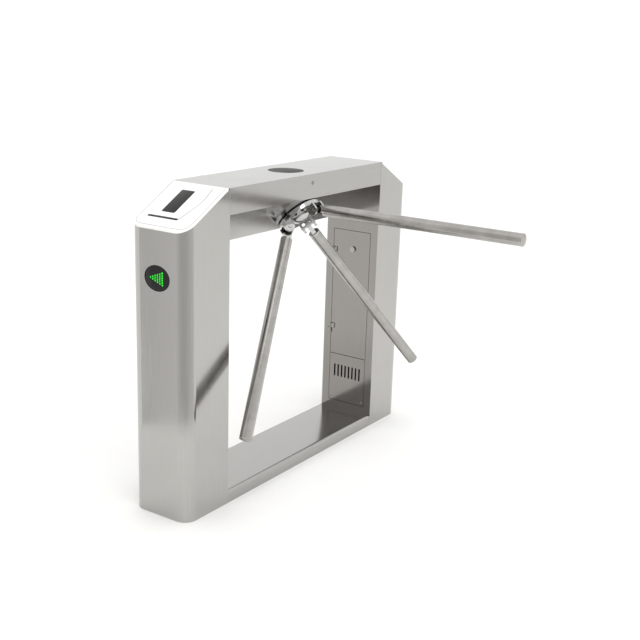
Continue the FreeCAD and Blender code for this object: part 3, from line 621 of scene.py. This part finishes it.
def lens_mesh():
    """Oval lens facing along z, with its face just below z = 0."""
    rings = [0.0, 0.25, 0.5, 0.7, 0.85, 0.95]
    profile = [(radius, dome_height(radius)) for radius in rings]
    profile += [(0.985, dome_height(0.985) - 0.3 * MM), (1.0, dome_height(1.0) - 0.9 * MM),
                (1.0, -LENS_THICK), (0.0, -LENS_THICK)]
    mesh = turned(profile, 72)
    return place(mesh, Matrix.Diagonal((lens_half_y, lens_half_z, 1, 1)))


def to_end(side):
    """Matrix from a lens's own plane to the outer end of a column."""
    facing = Matrix(((0, 0, 1, 0), (1, 0, 0, 0), (0, 1, 0, 0), (0, 0, 0, 1)))
    return half_turn(-side) @ Matrix.Translation((lens_face, 0, lens_level)) @ facing


lenses = bmesh.new()
for name, side in SIDES:
    combine(lenses, place(lens_mesh(), to_end(side)))
finish_piece(lenses, "direction_lenses", smoked, "cabinet", ["indicator_lenses"])
print("lens:", round(2 * lens_half_y, 4), "x", round(2 * lens_half_z, 4))

# %% Set the lamps in the lens
LAMP_RANKS, LAMP_TIP, LAMP_STEP, LAMP_RISE = 6, 25 * MM, 8.8 * MM, 6.8 * MM
LAMP_RADIUS = 3.6 * MM
LAMP_PROUD, LAMP_SUNK, LAMP_ROOT = 0.5 * MM, 0.3 * MM, 0.4 * MM

arrows = bmesh.new()
for name, side in SIDES:
    for rank in range(LAMP_RANKS):
        for step in range(rank + 1):
            across = -(LAMP_TIP - rank * LAMP_STEP)
            height = (step - rank / 2) * LAMP_RISE
            fraction = math.hypot(across / lens_half_y, height / lens_half_z)
            foot = dome_height(fraction) - LAMP_SUNK
            dome = turned([(0.0, foot + LAMP_PROUD), (LAMP_RADIUS * 0.6, foot + LAMP_PROUD * 0.8),
                           (LAMP_RADIUS, foot), (0.0, foot - LAMP_ROOT)], 10)
            place(dome, Matrix.Translation((across, height, 0)))
            combine(arrows, place(dome, to_end(side)))
finish_piece(arrows, "direction_lamps", lamp_green, "cabinet")
print("lamps per end:", LAMP_RANKS * (LAMP_RANKS + 1) // 2)

# %% [markdown]
# ## The round window on the lid
#
# A black acrylic disc lies in the middle of the lid, over the optical counter. Turning a profile
# about the upright axis gives its shallow crown and its soft edge in one step.

# %% Model the round window
disc_low, disc_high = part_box("top_window")
disc_radius = disc_high.x
CROWN = 0.6 * MM
disc = turned([
    (0.0, disc_high.z), (disc_radius * 0.5, disc_high.z - CROWN * 0.2),
    (disc_radius * 0.85, disc_high.z - CROWN * 0.7), (disc_radius - 1.2 * MM, disc_high.z - CROWN),
    (disc_radius - 0.3 * MM, disc_high.z - CROWN - 0.4 * MM),
    (disc_radius, disc_high.z - CROWN - 1.1 * MM),
    (disc_radius, disc_low.z), (0.0, disc_low.z)], 96)
finish_piece(disc, "lid_round_window", lid_acrylic, "lid", ["top_window"])
print("round window:", round(2 * disc_radius, 3))

# %% [markdown]
# ## Soft edges on the machined and folded parts
#
# No real edge is perfectly sharp: bent sheet has a radius, and the hub's castings are tumbled. That
# thin round catches light and outlines every part. The frame's own mesh can't be changed, so a copy
# of it is merged, its flat triangles are dissolved, and a Bevel modifier rounds what is left.


# %% Make the softened copies
def softened(node, name, finish, body, width, segments=2, limit=40):
    """Copy of a part with rounded edges that stands for it."""
    mesh = bmesh.new()
    mesh.from_mesh(frame["nodes"][node].data)
    bmesh.ops.remove_doubles(mesh, verts=mesh.verts, dist=2e-6)
    bmesh.ops.dissolve_limit(mesh, angle_limit=math.radians(0.5), verts=mesh.verts, edges=mesh.edges)
    data = bpy.data.meshes.new(name)
    mesh.to_mesh(data)
    mesh.free()
    data.materials.clear()
    data.materials.append(finish)
    data.shade_smooth()
    data.set_sharp_from_angle(angle=SHARP)
    piece = bpy.data.objects.new(name, data)
    bpy.context.scene.collection.objects.link(piece)
    rounding = piece.modifiers.new("rounding", "BEVEL")
    rounding.width = width
    rounding.segments = segments
    rounding.limit_method = "ANGLE"
    rounding.angle_limit = math.radians(limit)
    rounding.harden_normals = True
    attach(piece, body)
    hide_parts(node)
    return piece


SOFT_PARTS = (
    ("hub_body", "hub_rounded", chrome, "rotor", "polished_stainless", 1.6 * MM),
    ("base_cover", "base_cover_folded", steel_along, "cabinet", "brushed_stainless", 0.5 * MM),
    ("top_lid", "lid_folded", steel_along, "lid", "brushed_stainless", 0.5 * MM),
    ("vent_panels", "vent_panels_punched", steel_door, "cabinet", "brushed_stainless", 0.4 * MM),
    ("near_door", "near_door_folded", steel_door, "near_service_door", "brushed_stainless", 0.4 * MM),
    ("far_door", "far_door_folded", steel_door, "far_service_door", "brushed_stainless", 0.4 * MM),
)
for node, name, finish, body, slot, width in SOFT_PARTS:
    piece = softened(node, name, finish, body, width)
    print(piece.name, "faces:", len(piece.data.polygons))

for node in ("hub_cap", "front_arm_root", "far_arm_root", "near_arm_root", "arm_pivot_pins"):
    frame["nodes"][node].data.materials[0] = chrome

# %% [markdown]
# ## Quarter-turn locks
#
# The service doors close with a round cam lock. Its head is turned and chromed, with a bevelled
# rim, a dished face and a key slot. The head is a profile spun about its axis; the slot is a black
# block let into the dish, whose black is painted shade that stands for the dark inside of the slot.

# %% Model the lock heads
HEAD_RADIUS, HEAD_HIGH = 10 * MM, 6 * MM
HEAD_PROFILE = ((0.0, 3.6), (4.6, 3.8), (6.0, 5.2), (8.4, 6.0), (9.4, 5.6), (10.0, 4.6),
                (10.0, 0.0), (0.0, 0.0))
KEY_SIZE, KEY_LEVEL = (1.6 * MM, 7 * MM, 1.4 * MM), 3.9 * MM
for name, side in SIDES:
    lock_low, lock_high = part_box(name + "_door_lock")
    level = (lock_low.z + lock_high.z) / 2
    knob_face = lock_low.x if side > 0 else lock_high.x
    head = turned([(radius * MM, height * MM) for radius, height in HEAD_PROFILE], 40)
    key = block(KEY_SIZE, (0, 0, KEY_LEVEL))
    aim = Matrix.Rotation(math.radians(-90 * side), 4, "Y")
    to_door = Matrix.Translation((knob_face + side * HEAD_HIGH, lock_low.y + HEAD_RADIUS, level)) @ aim
    lock_body = name + "_cam_lock"
    finish_piece(place(head, to_door), name + "_lock_head", chrome, lock_body)
    # Painted shade: the matt black keyway block stands for the shade inside the key slot.
    finish_piece(place(key, to_door), name + "_lock_keyway_shade", black_abs, lock_body)
print("lock heads:", len(SIDES))

# %% [markdown]
# ## Screws
#
# The vent panels and the rear panel are held by button-head screws with a socket. A head is a
# short dome with a pit in its middle, spun from one profile in a few steps, so that all of them
# together stay light.


# %% Place the screws
def screw_head(radius, height):
    """Button head facing along z with its seat at z = 0."""
    return turned([
        (0.0, height * 0.35), (radius * 0.42, height * 0.35), (radius * 0.45, height * 0.95),
        (radius * 0.75, height * 0.8), (radius, height * 0.15), (radius, 0.0), (0.0, 0.0)], 18)


def screws(name, spots, body, radius=3.2 * MM, height=1.6 * MM):
    """One piece with a screw head at every matrix in spots."""
    group = bmesh.new()
    for spot in spots:
        combine(group, place(screw_head(radius, height), spot))
    return finish_piece(group, name, polished, body)


arch_x = -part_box("near_door_frame")[1].x
vent_low, vent_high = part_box("vent_panels")
VENT_TOP = 238 * MM
VENT_SCREW_SIDE, VENT_SCREW_UP = 9 * MM, 12 * MM
spots = []
for name, side in SIDES:
    for across in (-1, 1):
        for level in (vent_low.z + VENT_SCREW_UP, VENT_TOP):
            facing = Matrix.Rotation(math.radians(-90 * side), 4, "Y")
            at_hole = (side * arch_x, across * (vent_high.y - VENT_SCREW_SIDE), level)
            spots.append(Matrix.Translation(at_hole) @ facing)
screws("vent_panel_screws", spots, "cabinet")

rear_low, rear_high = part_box("beam_rear_panel")
REAR_SCREW_STEP = 190 * MM
REAR_SCREW_LEVELS = (rear_low.z + 18 * MM, rear_high.z - 26 * MM)
facing = Matrix.Rotation(math.radians(-90), 4, "X")
spots = [Matrix.Translation((step * REAR_SCREW_STEP, rear_high.y, level)) @ facing
         for step in range(-2, 3) for level in REAR_SCREW_LEVELS]
screws("rear_panel_screws", spots, "cabinet")
print("rear screws:", len(spots))

# %% [markdown]
# ## Dressed weld seams
#
# Where the beam's panels meet the columns, the real joint is welded and ground flush. What remains
# is a narrow strip that is polished differently from the sheet and stands a hair proud. A flat
# bar, less than a fifth of a millimetre proud, is enough to show it.

# %% Model the seams
SEAM_WIDE, SEAM_PROUD = 1.6 * MM, 0.15 * MM
FACE_HIGH, LID_SHEET = 78 * MM, 2 * MM
lid_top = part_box("top_lid")[1].z
face_low, lid_under = lid_top - FACE_HIGH, lid_top - LID_SHEET
seams = bmesh.new()
for side in (-1, 1):
    for front, low in ((-1, face_low), (1, rear_low.z)):
        height = lid_under - low
        bar = block((SEAM_WIDE, 2 * SEAM_PROUD, height),
                    (side * arch_x, front * half_width, low + height / 2))
        combine(seams, bar)
finish_piece(seams, "ground_weld_seams", zinc, "cabinet")
print("seams from", round(face_low, 3), "to", round(lid_under, 3))

# %% [markdown]
# ## Floor, room and light
#
# The turnstile stands in a white studio: a white floor without an edge and a bright room. Polished
# steel shows only what it reflects, so the room matters more than the lamps. It is white above and
# below, and darker at eye level on the camera's side, where a real studio has its walls, stands and
# people. That dark belt draws the dark streaks along the tubes.

# %% Stage
white_floor, tree = start_finish("studio_floor_paint")
spot = add(tree, "ShaderNodeTexCoord").outputs["Object"]
speckle = add(tree, "ShaderNodeTexNoise", {"Vector": spot, "Scale": 3.0, "Detail": 4.0})
shade = add(tree, "ShaderNodeMix", {
    "Factor": fade(tree, speckle.outputs["Fac"], 0.0, 1.0),
    "A": linear("F6F6F5"), "B": linear("F9F9F8")}, data_type="RGBA")
surface = add(tree, "ShaderNodeBsdfPrincipled", {"Base Color": shade.outputs["Result"], "Roughness": 0.7})
add(tree, "ShaderNodeOutputMaterial", {"Surface": surface.outputs["BSDF"]})

ground = bmesh.new()
FLOOR_REACH = 40
bmesh.ops.create_grid(ground, x_segments=4, y_segments=4, size=FLOOR_REACH)
data = bpy.data.meshes.new("floor")
ground.to_mesh(data)
ground.free()
data.materials.append(white_floor)
floor = bpy.data.objects.new("floor", data)
bpy.context.scene.collection.objects.link(floor)
print("floor reaches", FLOOR_REACH, "m each way")

# %% [markdown]
# ## Gradient screen
#
# A studio that shows shiny sheet puts a large curved screen near it, lit unevenly, and lets the
# metal mirror its slow change of tone. Here it stands round the near end and shades the rounded
# corner from grey to light. It is one upright line spun about the corner, with a colour ramp that
# runs with the angle. It is seen only in reflections, and it throws neither light nor shadow on
# the matt surfaces.

# %% Gradient screen
SCREEN_CENTRE = Vector((-0.56, -0.07, 0.0))
SCREEN_RADIUS, SCREEN_FOOT, SCREEN_HEIGHT = 0.8, 0.01, 2.2
SCREEN_START, SCREEN_SWEEP = math.radians(130), math.radians(166)
SCREEN_TONES = ((130, 0.74), (139, 0.92), (152, 0.93), (176, 0.78), (205, 0.66), (245, 0.7), (296, 1.0))
screen_finish, tree = start_finish("lit_gradient_screen")
spot = add(tree, "ShaderNodeTexCoord").outputs["Object"]
screen_middle = SCREEN_START + SCREEN_SWEEP / 2
aimed = add(tree, "ShaderNodeMapping", {
    "Vector": spot, "Location": SCREEN_CENTRE, "Rotation": (0, 0, screen_middle)}, vector_type="TEXTURE")
round_it = add(tree, "ShaderNodeTexGradient", {"Vector": aimed.outputs["Vector"]}, gradient_type="RADIAL")
tones = add(tree, "ShaderNodeValToRGB", {"Fac": round_it.outputs["Fac"]})
ramp = tones.color_ramp
ramp.interpolation = "B_SPLINE"
ramp.elements.remove(ramp.elements[1])
for angle, grey in SCREEN_TONES:
    stop = 0.5 + (math.radians(angle) - screen_middle) / math.tau
    ramp.elements.new(stop).color = (grey, grey * 0.985, grey * 0.965, 1)
ramp.elements.remove(ramp.elements[0])
surface = add(tree, "ShaderNodeEmission", {"Color": tones.outputs["Color"], "Strength": 1.0})
add(tree, "ShaderNodeOutputMaterial", {"Surface": surface.outputs["Emission"]})
print("screen tones:", len(ramp.elements))

# %% Build the screen
screen_mesh = bmesh.new()
foot = screen_mesh.verts.new(
    (SCREEN_RADIUS * math.cos(SCREEN_START), SCREEN_RADIUS * math.sin(SCREEN_START), SCREEN_FOOT))
head = screen_mesh.verts.new((foot.co.x, foot.co.y, SCREEN_HEIGHT))
pole = screen_mesh.edges.new((foot, head))
bmesh.ops.spin(screen_mesh, geom=[foot, head, pole], axis=(0, 0, 1), cent=(0, 0, 0),
               angle=SCREEN_SWEEP, steps=40)
place(screen_mesh, Matrix.Translation(SCREEN_CENTRE))
data = bpy.data.meshes.new("gradient_screen")
screen_mesh.to_mesh(data)
screen_mesh.free()
data.materials.append(screen_finish)
screen = bpy.data.objects.new("gradient_screen", data)
bpy.context.scene.collection.objects.link(screen)
screen.visible_camera = False
screen.visible_diffuse = False
screen.visible_shadow = False
print("screen sweeps", round(math.degrees(SCREEN_SWEEP)), "degrees")

# %% [markdown]
# ## Room and lamps
#
# The room is the world's background. A colour ramp over height makes the belt, and it is mixed in
# only on the side where x is negative. The camera itself sees plain white. Two lamps add soft
# shadows: a big softbox above the near side, and a faint wash from the ceiling that is kept out of
# reflections.

# %% Room
room = bpy.data.worlds.new("studio")
bpy.context.scene.world = room
room.use_nodes = True
tree = room.node_tree
tree.nodes.clear()
ROOM_LIGHT = 1.12
looking = add(tree, "ShaderNodeTexCoord").outputs["Generated"]
parts = add(tree, "ShaderNodeSeparateXYZ", {"Vector": looking})
belt = add(tree, "ShaderNodeValToRGB", {"Fac": fade(tree, parts.outputs["Z"], 0.0, 1.0, -1.0, 1.0)})
ramp = belt.color_ramp
ramp.elements[0].position = 0.0
ramp.elements[0].color = (1, 1, 1, 1)
ramp.elements[1].position = 1.0
ramp.elements[1].color = (1, 1, 1, 1)
for stop, grey in ((0.46, 1.0), (0.49, 0.62), (0.56, 0.46), (0.72, 0.56), (0.8, 1.0)):
    ramp.elements.new(stop).color = (grey, grey * 0.98, grey * 0.95, 1)
camera_side = fade(tree, parts.outputs["X"], 1.0, 0.0, -0.35, 0.25)
walls = add(tree, "ShaderNodeMix", {
    "Factor": camera_side, "A": (0.93, 0.93, 0.92, 1), "B": belt.outputs["Color"]}, data_type="RGBA")
seen = add(tree, "ShaderNodeLightPath").outputs["Is Camera Ray"]
shown = add(tree, "ShaderNodeMix", {
    "Factor": seen, "A": walls.outputs["Result"], "B": (1, 1, 1, 1)}, data_type="RGBA")
light = add(tree, "ShaderNodeBackground", {"Color": shown.outputs["Result"], "Strength": ROOM_LIGHT})
add(tree, "ShaderNodeOutputWorld", {"Surface": light.outputs["Background"]})
print("room strength:", ROOM_LIGHT)


# %% Lamps
def studio_lamp(name, kind, place_at, aim_at, energy, spread):
    """Light that looks at a point; spread is a softbox's size, or a sun's angle."""
    data = bpy.data.lights.new(name, kind)
    data.energy = energy
    setattr(data, "size" if kind == "AREA" else "angle", spread)
    holder = bpy.data.objects.new(name, data)
    bpy.context.scene.collection.objects.link(holder)
    holder.location = place_at
    holder.rotation_euler = (Vector(aim_at) - Vector(place_at)).to_track_quat("-Z", "Y").to_euler()
    return holder


studio_lamp("key_softbox", "AREA", (-1.6, -2.2, 3.4), (0, 0, 0.5), 26, 2.2)
ceiling = studio_lamp("ceiling_wash", "SUN", (0.6, -0.6, 4), (0, 0, 0), 0.55, math.radians(80))
ceiling.visible_glossy = False
bpy.context.scene.view_settings.view_transform = "Standard"
print("lights: 2")
